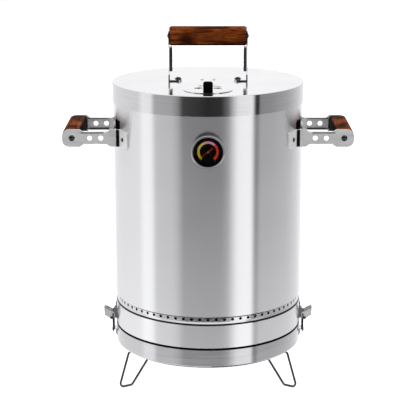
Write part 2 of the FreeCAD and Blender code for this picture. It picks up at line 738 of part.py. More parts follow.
def latch_lever():
    cheek = from_latch_pivot([
        (-3.2, -3.6), (10.4, 4.2), (10.4, 14.9), (8.5, 14.9), (-1.5, 9.6), (-5.4, 9.6), (-5.4, 2.0),
    ])
    cheeks = latch_pair(cheek, LEVER_INSIDE, {0: 2.4, 4: 3.0, 5: 2.4, 6: 2.4})
    outside = LEVER_INSIDE + LATCH_SHEET
    web_outline = from_latch_pivot([(4.2, 0.64), (10.4, 4.2), (9.8, 5.24), (3.6, 1.68)])
    web = plate_xz(web_outline, -outside, outside)
    flap_outline = from_latch_pivot([(9.7, 4.2), (10.9, 4.4), (12.1, 20.0), (10.9, 20.0)])
    flap = plate_xz(flap_outline, -outside, outside)
    bores = [
        pivot_bore(latch_pivot, LATCH_PIN_RADIUS + RUNNING_CLEARANCE),
        pivot_bore(bail_pivot, BAIL_WIRE / 2.0 + RUNNING_CLEARANCE),
    ]
    lever = without(joined([web] + cheeks), bores)
    return joined([lever, flap])


def latch_bail():
    """The wire loop that hooks under the bowl's catch."""
    x, top = bail_pivot
    bar = catch_top - LATCH_SHEET - BAIL_FREE_PLAY - BAIL_WIRE / 2.0
    tip = LEVER_INSIDE - 0.6
    points = [
        point(x, -tip, top), point(x, -BAIL_HALF_WIDTH, top), point(x, -BAIL_HALF_WIDTH, bar),
        point(x, BAIL_HALF_WIDTH, bar), point(x, BAIL_HALF_WIDTH, top), point(x, tip, top),
    ]
    return bent_wire(points, {i: BAIL_BEND for i in range(1, 5)}, BAIL_WIRE)


# ---- lid --------------------------------------------------------------------------------
def standing(shape):
    """Turns a piece built along +X with its grip along Y, so that it stands up with its
    grip along X."""
    copy = shape.copy()
    copy.rotate(ORIGIN, FreeCAD.Vector(1, 1, 1), -120.0)
    return copy


vent_centre = point(0, -vent_forward, 0)
vent_top = lid_top + VENT_GAP + VENT_SHEET
lug_front = LUG_INSET - vent_forward - VENT_RADIUS


def polar(radius, degrees, z=0.0):
    angle = math.radians(degrees)
    return point(radius * math.cos(angle), radius * math.sin(angle), z)


def lid_drill(place, radius):
    return Part.makeCylinder(radius, 20.0, point(place.x, place.y, lid_top - 10.0))


def vent_hole_places(turn):
    step = 360.0 / VENT_HOLES
    return [vent_centre + polar(VENT_HOLE_CIRCLE, 30.0 + turn + i * step) for i in range(VENT_HOLES)]


stop_place = vent_centre + polar(VENT_STOP_CIRCLE, VENT_STOP_ANGLE)
hanger_rivets_at = [point(side * HANGER_RIVET_OFFSET, HANGER_BACK, 0) for side in (-1, 1)]
bolts_at = [point(side * lid_bolt_offset, 0, 0) for side in (-1, 1)]


def lid_shell():
    inside = lid_radius - LID_SHEET
    skirt_bottom = lid_top - LID_SKIRT
    outline = [
        (0, lid_top), (lid_radius, lid_top), (lid_radius, skirt_bottom),
        (inside, skirt_bottom), (inside, lid_top - LID_SHEET), (0, lid_top - LID_SHEET),
    ]
    shell = turned(outline, {1: LID_BEND, 4: LID_BEND - LID_SHEET})
    drills = [lid_drill(place, VENT_HOLE_RADIUS) for place in vent_hole_places(VENT_TURN)]
    drills.append(lid_drill(vent_centre, VENT_HUB_RADIUS + RUNNING_CLEARANCE))
    drills.append(lid_drill(stop_place, VENT_STOP_RADIUS + RUNNING_CLEARANCE))
    drills += [lid_drill(place, HANGER_RIVET_RADIUS + RUNNING_CLEARANCE) for place in hanger_rivets_at]
    drills += [lid_drill(place, SCREW_DIAMETER / 2.0 + RUNNING_CLEARANCE) for place in bolts_at]
    return without(shell, drills)


def lid_post():
    """The right-hand post of the lid handle, its foot turned in under the grip."""
    post = pressed_arm(lid_top, lid_grip_height)
    post = standing(post)
    half = ARM_ROOT_WIDTH / 2.0
    foot_end = arm_outer_face - LID_FOOT_LENGTH - ARM_SHEET
    outline = rounded_wire(
        [
            point(foot_end, -half, lid_top), point(arm_outer_face, -half, lid_top),
            point(arm_outer_face, half, lid_top), point(foot_end, half, lid_top),
        ],
        {0: 6.0, 3: 6.0},
    )
    foot = Part.Face(outline).extrude(point(0, 0, ARM_SHEET))
    post = joined([post, foot])
    return post.cut(lid_drill(bolts_at[1], SCREW_DIAMETER / 2.0 + RUNNING_CLEARANCE))


def lid_bolts():
    top = lid_top + ARM_SHEET + SEAT_GAP
    length = ARM_SHEET + LID_SHEET + NUT_HEIGHT + 2.0
    bolts = []
    for place in bolts_at:
        bolt = joined([
            dome(BOLT_HEAD_DIAMETER / 2.0, BOLT_HEAD_HEIGHT),
            Part.makeCylinder(SCREW_DIAMETER / 2.0, length, point(0, 0, -length)),
        ])
        bolt.translate(place + point(0, 0, top))
        bolts.append(bolt)
    return Part.makeCompound(bolts)


def lid_nuts():
    nuts = []
    for place in bolts_at:
        nut = hexagon(NUT_ACROSS_FLATS, NUT_HEIGHT, SCREW_DIAMETER / 2.0 + RUNNING_CLEARANCE)
        nut.translate(place + point(0, 0, lid_top - LID_SHEET - SEAT_GAP - NUT_HEIGHT))
        nuts.append(nut)
    return Part.makeCompound(nuts)


def hanger():
    """A strap under the lid with two eyes to hang meat or fish from."""
    top = lid_top - LID_SHEET
    half = HANGER_LENGTH / 2.0
    inner = half - HANGER_SHEET
    y_start = HANGER_BACK - HANGER_WIDTH / 2.0
    outline = [
        (-half, top - HANGER_DROP), (-half, top), (half, top), (half, top - HANGER_DROP),
        (inner, top - HANGER_DROP), (inner, top - HANGER_SHEET),
        (-inner, top - HANGER_SHEET), (-inner, top - HANGER_DROP),
    ]
    strap = plate_xz(outline, y_start, y_start + HANGER_WIDTH, {1: 2.5, 2: 2.5, 5: 1.0, 6: 1.0})
    eye_height = top - HANGER_DROP + HANGER_EYE_UP
    start = point(-2 * half, HANGER_BACK, eye_height)
    end = point(2 * half, HANGER_BACK, eye_height)
    eyes = rod(HANGER_HOLE_RADIUS, start, end)
    drills = [lid_drill(place, HANGER_RIVET_RADIUS + RUNNING_CLEARANCE) for place in hanger_rivets_at]
    return without(strap, drills + [eyes])


def upright_rivet(place, head_seat, tail_seat, radius, head):
    return rivet(place + point(0, 0, head_seat), place + point(0, 0, tail_seat), radius, head)


def hanger_rivets():
    tail = lid_top - LID_SHEET - HANGER_SHEET - SEAT_GAP
    head = lid_top + SEAT_GAP
    rivets = []
    for place in hanger_rivets_at:
        rivets.append(upright_rivet(place, head, tail, HANGER_RIVET_RADIUS, HANGER_RIVET_HEAD))
    return Part.makeCompound(rivets)


def vent_disc():
    base = lid_top + VENT_GAP
    disc = Part.makeCylinder(VENT_RADIUS, VENT_SHEET, vent_centre + point(0, 0, base))
    lug = block(
        (-LUG_WIDTH / 2.0, LUG_WIDTH / 2.0),
        (lug_front, lug_front + VENT_SHEET),
        (base, lid_top + LUG_HEIGHT),
    )
    disc = joined([disc, lug])
    drills = [lid_drill(place, VENT_HOLE_RADIUS) for place in vent_hole_places(0.0)]
    drills.append(lid_drill(vent_centre, VENT_HUB_RADIUS + RUNNING_CLEARANCE))
    half_slot = VENT_STOP_RADIUS + VENT_SLOT_CLEARANCE
    ends = [VENT_STOP_ANGLE - VENT_TURN, VENT_STOP_ANGLE]
    for angle in ends:
        drills.append(lid_drill(vent_centre + polar(VENT_STOP_CIRCLE, angle), half_slot))
    inner, outer = VENT_STOP_CIRCLE - half_slot, VENT_STOP_CIRCLE + half_slot
    middle = sum(ends) / 2.0
    corners = [
        polar(inner, ends[0]), polar(outer, ends[0]), polar(outer, ends[1]), polar(inner, ends[1]),
    ]
    edges = [
        Part.LineSegment(corners[0], corners[1]).toShape(),
        Part.Arc(corners[1], polar(outer, middle), corners[2]).toShape(),
        Part.LineSegment(corners[2], corners[3]).toShape(),
        Part.Arc(corners[3], polar(inner, middle), corners[0]).toShape(),
    ]
    slot = Part.Face(Part.Wire(edges)).extrude(point(0, 0, 20.0))
    slot.translate(vent_centre + point(0, 0, lid_top - 10.0))
    return without(disc, drills + [slot])


def vent_tab():
    middle = lug_front + VENT_SHEET / 2.0
    bottom = vent_top + TAB_ABOVE_DISC
    top = lid_top + TAB_HEIGHT
    half = TAB_WIDTH / 2.0
    outline = [(-half, bottom), (half, bottom), (half, top), (-half, top)]
    half_thick = TAB_THICK / 2.0
    tab = plate_xz(outline, middle - half_thick, middle + half_thick, {2: TAB_ROUND, 3: TAB_ROUND})
    gap = SEAT_GAP
    pocket = block(
        (-LUG_WIDTH / 2.0 - gap, LUG_WIDTH / 2.0 + gap),
        (lug_front - gap, lug_front + VENT_SHEET + gap),
        (bottom - 1.0, lid_top + LUG_HEIGHT + gap),
    )
    return tab.cut(pocket)


def vent_rivet():
    head = vent_top + RUNNING_CLEARANCE
    tail = lid_top - LID_SHEET - SEAT_GAP
    return upright_rivet(vent_centre, head, tail, VENT_HUB_RADIUS, VENT_HUB_HEAD)


def vent_stop_rivet():
    head = vent_top + RUNNING_CLEARANCE
    tail = lid_top - LID_SHEET - SEAT_GAP
    return upright_rivet(stop_place, head, tail, VENT_STOP_RADIUS, VENT_STOP_HEAD)


# ---- what stands inside -----------------------------------------------------------------
def wire_grate(radius):
    """A round grate on z = 0: a ring, two cross bars in its plane and rods on top."""
    ring_half = GRATE_RING_WIRE / 2.0
    bar_half = GRATE_BAR_WIRE / 2.0
    rod_half = GRATE_ROD_WIRE / 2.0
    ring_radius = radius - ring_half
    pieces = [Part.makeTorus(ring_radius, ring_half, point(0, 0, ring_half))]
    for side in (-1, 1):
        y = side * ring_radius * 0.5
        reach = math.sqrt(ring_radius ** 2 - y ** 2)
        pieces.append(rod(bar_half, point(-reach, y, ring_half), point(reach, y, ring_half)))
    rod_level = GRATE_RING_WIRE + rod_half - GRATE_WELD
    count = int(ring_radius / GRATE_PITCH)
    for index in range(-count, count + 1):
        x = index * GRATE_PITCH
        reach = math.sqrt(ring_radius ** 2 - x ** 2)
        if reach > GRATE_PITCH:
            pieces.append(rod(rod_half, point(x, -reach, rod_level), point(x, reach, rod_level)))
    return pieces[0].multiFuse(pieces[1:])


def dish(top_radius, taper, depth, rim_top):
    """A pressed dish hung or stood by its floor, with a flat rim turned out."""
    floor = rim_top - depth
    inner = top_radius - DISH_SHEET
    outline = [
        (0, floor), (top_radius - taper, floor), (top_radius, rim_top - DISH_SHEET),
        (top_radius + DISH_RIM, rim_top - DISH_SHEET), (top_radius + DISH_RIM, rim_top),
        (inner, rim_top), (inner - taper, floor + DISH_SHEET), (0, floor + DISH_SHEET),
    ]
    return turned(outline, {1: 7.0, 2: 0.6, 5: 1.6, 6: 6.0})


coal_floor = bowl_floor + BOWL_SHEET + COAL_FOOT_HEIGHT
coal_rim = coal_floor + COAL_BOWL_DEPTH


def charcoal_bowl():
    bowl = dish(coal_bowl_radius, COAL_BOWL_TAPER, COAL_BOWL_DEPTH, coal_rim)
    holes = []
    for circle, count in COAL_HOLE_CIRCLES.items():
        for index in range(count):
            place = polar(circle, index * 360.0 / count, coal_floor - 5.0)
            holes.append(Part.makeCylinder(COAL_HOLE_RADIUS, 10.0, place))
    return without(bowl, holes)


def charcoal_bowl_feet():
    feet = []
    for azimuth in RACK_AZIMUTHS:
        place = polar(coal_bowl_radius - COAL_FOOT_INSET, azimuth, bowl_floor + BOWL_SHEET)
        feet.append(Part.makeCylinder(COAL_FOOT_RADIUS, COAL_FOOT_HEIGHT, place))
    return Part.makeCompound(feet)


def water_pan():
    rim_radius = rack_inside["pan"] + GRATE_OVERLAP
    body_radius = rack_inside["pan"] - 1.0
    pan = dish(body_radius, PAN_TAPER, PAN_DEPTH, rack_levels["pan"] + DISH_SHEET)
    beyond = 2 * rim_radius
    trim = turned([(rim_radius, 0), (beyond, 0), (beyond, lid_top), (rim_radius, lid_top)])
    return pan.cut(trim)


# ---- every node -------------------------------------------------------------------------
def make_nodes():
    nodes = {
        "base_bowl": base_bowl(),
        "base_gasket": base_gasket(),
        "charcoal_bowl": charcoal_bowl(),
        "charcoal_bowl_feet": charcoal_bowl_feet(),
        "charcoal_grate": raised(wire_grate(coal_bowl_radius - COAL_GRATE_GAP), coal_floor + DISH_SHEET),
        "barrel_shell": barrel_shell(),
        "water_pan": water_pan(),
        "lower_grate": raised(wire_grate(grate_radius["lower"]), rack_levels["lower"]),
        "upper_grate": raised(wire_grate(grate_radius["upper"]), rack_levels["upper"]),
        "lid_shell": lid_shell(),
        "lid_right_post": lid_post(),
        "lid_left_post": mirrored(lid_post(), X_AXIS),
        "lid_grip": standing(wooden_grip(lid_grip_height)),
        "lid_grip_screws": standing(grip_screws(lid_grip_height)),
        "lid_post_bolts": lid_bolts(),
        "lid_post_nuts": lid_nuts(),
        "lid_hanger": hanger(),
        "lid_hanger_rivets": hanger_rivets(),
        "vent_disc": vent_disc(),
        "vent_tab": vent_tab(),
        "vent_rivet": vent_rivet(),
        "vent_stop_rivet": vent_stop_rivet(),
    }
    for name, azimuth in LEG_AZIMUTHS.items():
        nodes[name + "_leg"] = wire_leg(azimuth)
    for name, level in rack_levels.items():
        nodes[name + "_rack_brackets"] = rack_brackets(level, rack_inside[name])
    thermometer = {
        "case": thermometer_case, "bezel": thermometer_bezel, "lens": thermometer_lens,
        "dial": thermometer_dial, "needle": thermometer_needle, "probe": thermometer_probe,
        "nut": thermometer_nut,
    }
    for name, make in thermometer.items():
        nodes["thermometer_" + name] = on_the_front(make())
    two_sided = {
        "catch": catch, "catch_rivets": catch_rivets, "latch_base": latch_base,
        "latch_base_rivets": latch_base_rivets, "latch_pin": latch_pin,
        "latch_lever": latch_lever, "latch_bail": latch_bail, "arm_rivets": side_arm_rivets,
    }
    for name, make in two_sided.items():
        nodes["right_" + name], nodes["left_" + name] = both_sides(make())
    arm = side_arm()
    for side, shape in (("right", arm), ("left", mirrored(arm, X_AXIS))):
        nodes[side + "_rear_arm"] = shape
        nodes[side + "_front_arm"] = mirrored(shape, Y_AXIS)
    grip = raised(wooden_grip(side_grip_radius), side_grip_height)
    screws = raised(grip_screws(side_grip_radius), side_grip_height)
    nodes["right_grip"], nodes["left_grip"] = both_sides(grip)
    nodes["right_grip_screws"], nodes["left_grip_screws"] = both_sides(screws)
    return nodes


os.makedirs("parts", exist_ok=True)
for node_name, node_shape in make_nodes().items():
    node_shape.exportStep("parts/" + node_name + ".step")
    print(node_name, len(node_shape.Solids), node_shape.isValid(), round(node_shape.Volume, 1))
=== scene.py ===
"""Looks of a vertical water smoker: brushed and polished stainless sheet, dark hardwood grips,
a dial thermometer and a lid damper. Metres, +Z up, the front of the smoker faces -Y."""

import json
import math

import bmesh
import bpy
from mathutils import Matrix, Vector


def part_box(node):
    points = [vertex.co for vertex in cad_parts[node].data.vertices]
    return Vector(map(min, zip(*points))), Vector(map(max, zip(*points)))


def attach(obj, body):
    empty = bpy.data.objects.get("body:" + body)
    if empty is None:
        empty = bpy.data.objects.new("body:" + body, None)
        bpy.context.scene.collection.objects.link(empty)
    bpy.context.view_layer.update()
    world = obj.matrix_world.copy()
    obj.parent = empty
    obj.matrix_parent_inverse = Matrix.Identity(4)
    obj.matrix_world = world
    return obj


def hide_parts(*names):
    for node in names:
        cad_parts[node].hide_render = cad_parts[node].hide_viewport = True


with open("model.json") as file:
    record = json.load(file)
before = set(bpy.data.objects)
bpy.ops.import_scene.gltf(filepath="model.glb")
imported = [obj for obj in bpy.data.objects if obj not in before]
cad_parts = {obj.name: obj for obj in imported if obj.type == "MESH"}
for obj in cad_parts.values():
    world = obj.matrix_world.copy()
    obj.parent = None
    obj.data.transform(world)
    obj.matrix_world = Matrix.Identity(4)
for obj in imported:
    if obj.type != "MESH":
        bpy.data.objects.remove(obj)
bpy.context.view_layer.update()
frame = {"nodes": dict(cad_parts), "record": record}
nodes = frame["nodes"]
scene = bpy.context.scene
MM = 0.001

# ---- camera ------------------------------------------------------------------------------
CAMERA_BACK = 2.1033
CAMERA_HEIGHT = 0.8223
CAMERA_TILT = 75.497
CAMERA_LENS = 116.16

camera = bpy.data.objects.new("camera", bpy.data.cameras.new("camera"))
camera.location = (0.0, -CAMERA_BACK, CAMERA_HEIGHT)
camera.rotation_euler = (math.radians(CAMERA_TILT), 0.0, 0.0)
camera.data.lens = CAMERA_LENS
scene.collection.objects.link(camera)
scene.camera = camera


# ---- colours and nodes -------------------------------------------------------------------
def colour(code):
    """An sRGB hex value as the linear colour that a shader wants."""
    channels = [int(code[i:i + 2], 16) / 255.0 for i in (1, 3, 5)]
    linear = [c / 12.92 if c <= 0.04045 else ((c + 0.055) / 1.055) ** 2.4 for c in channels]
    return (*linear, 1.0)


def add_node(tree, kind, inputs=None, stops=None, **settings):
    """Adds a node with its settings, its socket values or links, and its ramp stops."""
    node = tree.nodes.new(kind)
    for name, value in settings.items():
        setattr(node, name, value)
    for socket, value in (inputs or {}).items():
        if isinstance(value, bpy.types.NodeSocket):
            tree.links.new(value, node.inputs[socket])
        else:
            node.inputs[socket].default_value = value
    if stops:
        ramp = node.color_ramp
        while len(ramp.elements) > 1:
            ramp.elements.remove(ramp.elements[-1])
        ramp.elements[0].position = stops[0][0]
        ramp.elements[0].color = stops[0][1]
        for position, value in stops[1:]:
            ramp.elements.new(position).color = value
    return node


def new_material(name, **shader_values):
    """A material whose shader has these values on its own sockets."""
    material = bpy.data.materials.new(name)
    material.use_nodes = True
    tree = material.node_tree
    shader = tree.nodes["Principled BSDF"]
    for socket, value in shader_values.items():
        shader.inputs[socket.replace("_", " ")].default_value = value
    return material, tree, shader


def per_mm(x, y, z):
    """Pattern scale on Object coordinates for features of these sizes in millimetres."""
    return (1.0 / (x * MM), 1.0 / (y * MM), 1.0 / (z * MM))


def grain(tree, sizes, detail=2.0, roughness=0.5, distortion=0.0):
    """Noise on Object coordinates, its features as large as sizes (mm along x, y and z)."""
    place = add_node(tree, "ShaderNodeTexCoord").outputs["Object"]
    scaled = add_node(tree, "ShaderNodeMapping", {"Vector": place, "Scale": per_mm(*sizes)})
    inputs = {
        "Vector": scaled.outputs["Vector"], "Scale": 1.0, "Detail": detail,
        "Roughness": roughness, "Distortion": distortion,
    }
    return add_node(tree, "ShaderNodeTexNoise", inputs).outputs["Fac"]


def span(tree, value, low, high, start=0.3, end=0.7):
    """Maps a pattern onto low..high."""
    inputs = {"Value": value, "From Min": start, "From Max": end, "To Min": low, "To Max": high}
    return add_node(tree, "ShaderNodeMapRange", inputs).outputs["Result"]


def tint(tree, value, *codes):
    """Maps a pattern onto a row of colours, evenly spaced."""
    last = len(codes) - 1
    stops = [(index / last, colour(code)) for index, code in enumerate(codes)]
    return add_node(tree, "ShaderNodeValToRGB", {"Fac": value}, stops).outputs["Color"]


def relief(tree, value, height_mm, strength=1.0):
    """The normal of a surface that a pattern raises by this many millimetres."""
    inputs = {"Height": value, "Distance": height_mm * MM, "Strength": strength}
    return add_node(tree, "ShaderNodeBump", inputs).outputs["Normal"]


def wire_up(tree, shader, **sources):
    """Links each source to the shader's socket of that name."""
    for socket, source in sources.items():
        tree.links.new(source, shader.inputs[socket.replace("_", " ")])


def outside_band(tree, axis, middle, half, soft, inside=0.0):
    """1 outside a band of the object along one axis, and inside's value within it."""
    place = add_node(tree, "ShaderNodeTexCoord").outputs["Object"]
    along = add_node(tree, "ShaderNodeSeparateXYZ", {"Vector": place}).outputs[axis]
    off = add_node(tree, "ShaderNodeMath", {0: along, 1: middle}, operation="SUBTRACT")
    away = add_node(tree, "ShaderNodeMath", {0: off.outputs[0]}, operation="ABSOLUTE")
    return span(tree, away.outputs[0], inside, 1.0, half, half + soft)


def combined(tree, operation, first, second):
    """Two patterns combined into one, by the larger, the product or the difference."""
    return add_node(tree, "ShaderNodeMath", {0: first, 1: second}, operation=operation).outputs[0]


# ---- metals ------------------------------------------------------------------------------
grip_low, grip_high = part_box("right_grip")
GRIP_UP = (grip_low.z + grip_high.z) / 2.0
# The barrel's rolled groove, and the share of the sheet's roughness that is left in it.
GROOVE_ABOVE_FOOT = 37.6 * MM
GROOVE_HEIGHT = 13.2 * MM
GROOVE_EDGE = 2.0 * MM
GROOVE_ROUGHNESS = 0.35
# Painted shade in the two bends of the groove: half its height, how softly it ends, and the share
# of bare steel left in the upper one.
SHADE_LINE_INSET = 1.0 * MM
LOWER_SHADE_HALF = 0.8 * MM
LOWER_SHADE_EDGE = 0.8 * MM
UPPER_SHADE_HALF = 0.9 * MM
UPPER_SHADE_EDGE = 0.7 * MM
UPPER_SHADE_UNSHADED = 0.05
# The mirror patch behind each grip, and the share of the roughness that is left in it.
MIRROR_HALF_HEIGHT = 24.0 * MM
MIRROR_EDGE_UP = 5.0 * MM
MIRROR_EDGE_ALONG = 4.0 * MM
MIRROR_ROUGHNESS = 0.2
# The neck of a side arm: its folded edges above and below, and where it starts and ends.
NECK_FOLD = 8.4 * MM
NECK_START = 161.0 * MM
NECK_END = 196.0 * MM
NECK_EDGE = 2.0 * MM
# Painted shade along the neck's folded edges: half its height, and how softly it ends.
FOLD_SHADE_HALF = 0.5 * MM
FOLD_SHADE_EDGE = 0.8 * MM
# Painted shade on the lower folded edge is on the rear arms only, this near the grip's end.
REAR_ARM_REACH = 20.0 * MM
REAR_ARM_EDGE = 1.0 * MM


def brushed_stainless(groove_low, groove_high, grip_up, grip_half_long):
    """Stainless sheet brushed round the barrel: a fine level grain that smears every
    reflection up and down, slow upright waves of rolled sheet, a groove that the beading
    wheel burnished, with painted shade darkening its two bends, and a mirror patch behind
    each grip, where the brushing belt couldn't reach."""
    material, tree, shader = new_material(
        "stainless_brushed_level", Metallic=1.0, Roughness=0.22, Anisotropic=0.95)
    scratches = grain(tree, (140, 140, 2.4), detail=2.0)
    marks = grain(tree, (120, 120, 60))
    waves = grain(tree, (16, 16, 900), detail=2.0)
    upright = add_node(tree, "ShaderNodeCombineXYZ", {"Z": 1.0}).outputs["Vector"]
    middle = (groove_low + groove_high) / 2.0
    half = (groove_high - groove_low) / 2.0
    groove = outside_band(tree, "Z", middle, half, GROOVE_EDGE, GROOVE_ROUGHNESS)
    behind_z = outside_band(tree, "Z", grip_up, MIRROR_HALF_HEIGHT, MIRROR_EDGE_UP)
    behind_y = outside_band(tree, "Y", 0.0, grip_half_long, MIRROR_EDGE_ALONG)
    off_patch = combined(tree, "MAXIMUM", behind_z, behind_y)
    behind = span(tree, off_patch, MIRROR_ROUGHNESS, 1.0, 0.0, 1.0)
    smoothed = combined(tree, "MULTIPLY", groove, behind)
    # Painted shade: near-black lines in the groove's two bends, mixed over the bare steel colour.
    lower_bend_shade = outside_band(
        tree, "Z", groove_low + SHADE_LINE_INSET, LOWER_SHADE_HALF, LOWER_SHADE_EDGE)
    upper_bend_shade = outside_band(
        tree, "Z", groove_high - SHADE_LINE_INSET, UPPER_SHADE_HALF, UPPER_SHADE_EDGE,
        UPPER_SHADE_UNSHADED)
    unshaded = combined(tree, "MULTIPLY", lower_bend_shade, upper_bend_shade)
    bare = tint(tree, span(tree, scratches, 0.0, 1.0), "#e1e1e4", "#e3e3e6")
    bend_shaded = add_node(
        tree, "ShaderNodeMix", {"Factor": unshaded, 6: colour("#1a1a1c"), 7: bare},
        data_type="RGBA").outputs[2]
    wire_up(
        tree, shader,
        Base_Color=bend_shaded,
        Roughness=combined(tree, "MULTIPLY", span(tree, marks, 0.215, 0.235), smoothed),
        Normal=relief(tree, waves, 0.03, 0.12),
        Tangent=upright,
    )
    return material


def buffed_stainless(name, smear, gloss, dark="#d3d3d6", light="#dcdcde"):
    """Stainless sheet buffed to a near mirror, with the faint level lines of the polishing
    belt and the slow waves of thin pressed sheet. Smear is how far the lines draw a
    reflection out."""
    material, tree, shader = new_material(
        name, Metallic=1.0, Roughness=gloss, Anisotropic=smear)
    upright = add_node(tree, "ShaderNodeCombineXYZ", {"Z": 1.0}).outputs["Vector"]
    lines = grain(tree, (60, 60, 1.0), detail=2.0)
    waves = grain(tree, (90, 90, 60), detail=0.0)
    slow = relief(tree, waves, 0.12, 0.3)
    fine_inputs = {"Height": lines, "Distance": 0.004 * MM, "Strength": 0.2, "Normal": slow}
    fine = add_node(tree, "ShaderNodeBump", fine_inputs).outputs["Normal"]
    wire_up(
        tree, shader,
        Base_Color=tint(tree, span(tree, lines, 0.0, 1.0), dark, light),
        Roughness=span(tree, lines, 0.8 * gloss, 1.2 * gloss),
        Normal=fine,
        Tangent=upright,
    )
    return material


def pressed_stainless():
    """Pressed stainless strip, barrel-tumbled to a bright satin with softened edges; dark
    lines of painted shade lie along the folds of an arm's neck."""
    material, tree, shader = new_material(
        "stainless_tumbled", Metallic=0.35, Roughness=0.38)
    pits = grain(tree, (1.5, 1.5, 1.5), detail=2.0)
    smears = grain(tree, (14, 14, 5), detail=2.0)
    # Painted shade: dark lines along the neck's folded edges, mixed over the satin colour.
    upper_fold_shade = outside_band(
        tree, "Z", GRIP_UP + NECK_FOLD, FOLD_SHADE_HALF, FOLD_SHADE_EDGE)
    lower_fold_shade = outside_band(
        tree, "Z", GRIP_UP - NECK_FOLD, FOLD_SHADE_HALF, FOLD_SHADE_EDGE)
    off_rear_arms = outside_band(tree, "Y", grip_high.y, REAR_ARM_REACH, REAR_ARM_EDGE)
    rear_fold_shade = combined(tree, "MAXIMUM", lower_fold_shade, off_rear_arms)
    folds = combined(tree, "MULTIPLY", upper_fold_shade, rear_fold_shade)
    past_root = outside_band(tree, "X", 0.0, NECK_START, NECK_EDGE)
    past_neck = outside_band(tree, "X", 0.0, NECK_END, NECK_EDGE)
    before_neck = combined(tree, "SUBTRACT", 1.0, past_root)
    off_neck = combined(tree, "MAXIMUM", before_neck, past_neck)
    unshaded = combined(tree, "MAXIMUM", folds, off_neck)
    bright = tint(tree, span(tree, smears, 0.0, 1.0), "#f0f0f1", "#fbfbfb")
    fold_shaded = add_node(
        tree, "ShaderNodeMix", {"Factor": unshaded, 6: colour("#3a3a3c"), 7: bright},
        data_type="RGBA").outputs[2]
    wire_up(
        tree, shader,
        Base_Color=fold_shaded,
        Roughness=span(tree, smears, 0.34, 0.42),
        Normal=relief(tree, pits, 0.02, 0.3),
    )
    return material


def drawn_wire(name, dark, light, gloss):
    """Steel wire: lengthwise drawing marks under a thin bright plating."""
    material, tree, shader = new_material(name, Metallic=1.0, Roughness=gloss)
    marks = grain(tree, (3, 3, 12), detail=2.0)
    wire_up(
        tree, shader,
        Base_Color=tint(tree, span(tree, marks, 0.0, 1.0), dark, light),
        Roughness=span(tree, marks, gloss - 0.04, gloss + 0.06),
        Normal=relief(tree, marks, 0.02, 0.3),
    )
    return material


# ---- wood, enamel, plastic, paint and glass ----------------------------------------------
# How deep painted shade darkens the lid grip's underside and the side grips' inner sides,
# and how softly it ends.
LID_WOOD_SHADE_DEPTH = 2.0 * MM
SIDE_WOOD_SHADE_DEPTH = 2.5 * MM
WOOD_SHADE_EDGE = 2.5 * MM


def oiled_walnut(name, along, shade_axis, shade_middle, shade_half):
    """Oiled walnut: red-brown, with dark growth lines that run the length of the grip and
    one darker heart patch; the side turned to the steel is painted nearly black as shade."""
    material, tree, shader = new_material(
        name, Roughness=0.7, IOR=1.4, Specular_IOR_Level=0.03)
    along_x = along == "x"
    rings = grain(tree, (110, 9, 9) if along_x else (9, 110, 9), 4.0, 0.6, 1.2)
    pores = grain(tree, (14, 0.9, 0.9) if along_x else (0.9, 14, 0.9), 2.0)
    heart = grain(tree, (45, 24, 24) if along_x else (24, 45, 24), 1.0)
    wood = tint(
        tree, span(tree, rings, 0.0, 1.0, 0.34, 0.66),
        "#2a1009", "#6a3016", "#9a4c1e", "#743416", "#b8682e", "#884424")
    shaded = add_node(
        tree, "ShaderNodeMix",
        {"Factor": span(tree, heart, 0.0, 0.85, 0.5, 0.66), 6: wood, 7: colour("#1c0c07")},
        data_type="RGBA").outputs[2]
    pored = add_node(
        tree, "ShaderNodeMix",
        {"Factor": span(tree, pores, 0.0, 0.5, 0.56, 0.66), 6: shaded, 7: colour("#180a06")},
        data_type="RGBA").outputs[2]
    # Painted shade: the side turned to the steel, mixed to near-black.
    unshaded = outside_band(tree, shade_axis, shade_middle, shade_half, WOOD_SHADE_EDGE)
    wood_shaded = add_node(
        tree, "ShaderNodeMix", {"Factor": unshaded, 6: colour("#0a0504"), 7: pored},
        data_type="RGBA").outputs[2]
    wire_up(
        tree, shader,
        Base_Color=wood_shaded,
        Roughness=span(tree, pores, 0.64, 0.76),
        Normal=relief(tree, pores, 0.06, 0.4),
    )
    return material


def vitreous_enamel():
    """Black porcelain enamel: deep gloss over a slight orange peel, with pale flecks."""
    material, tree, shader = new_material(
        "enamel_black", Roughness=0.16, IOR=1.52, Coat_Weight=0.4, Coat_Roughness=0.05)
    flecks = grain(tree, (2.2, 2.2, 2.2), 1.0)
    peel = grain(tree, (5, 5, 5), 1.0)
    wire_up(
        tree, shader,
        Base_Color=tint(tree, span(tree, flecks, 0.0, 1.0, 0.66, 0.74), "#101012", "#8e9094"),
        Roughness=span(tree, peel, 0.12, 0.22),
        Normal=relief(tree, peel, 0.06, 0.3),
    )
    return material


def seal_felt():
    """High-temperature felt seal, black and dusty along its fibres."""
    material, tree, shader = new_material(
        "seal_felt_black", Roughness=0.92, Specular_IOR_Level=0.1)
    fibres = grain(tree, (6, 6, 0.8), 3.0)
    wire_up(
        tree, shader,
        Base_Color=tint(tree, fibres, "#030303", "#0c0b0b"),
        Roughness=span(tree, fibres, 0.85, 0.97),
        Normal=relief(tree, fibres, 0.2, 0.5),
    )
    return material


def moulded_black():
    """Black phenolic moulding with the fine spark texture of its tool."""
    material, tree, shader = new_material(
        "phenolic_black", Roughness=0.5, IOR=1.45, Specular_IOR_Level=0.06)
    spark = grain(tree, (0.9, 0.9, 0.9), 2.0)
    wire_up(
        tree, shader,
        Base_Color=tint(tree, spark, "#030304", "#0b0b0c"),
        Roughness=span(tree, spark, 0.45, 0.56),
        Normal=relief(tree, spark, 0.05, 0.4),
    )
    return material


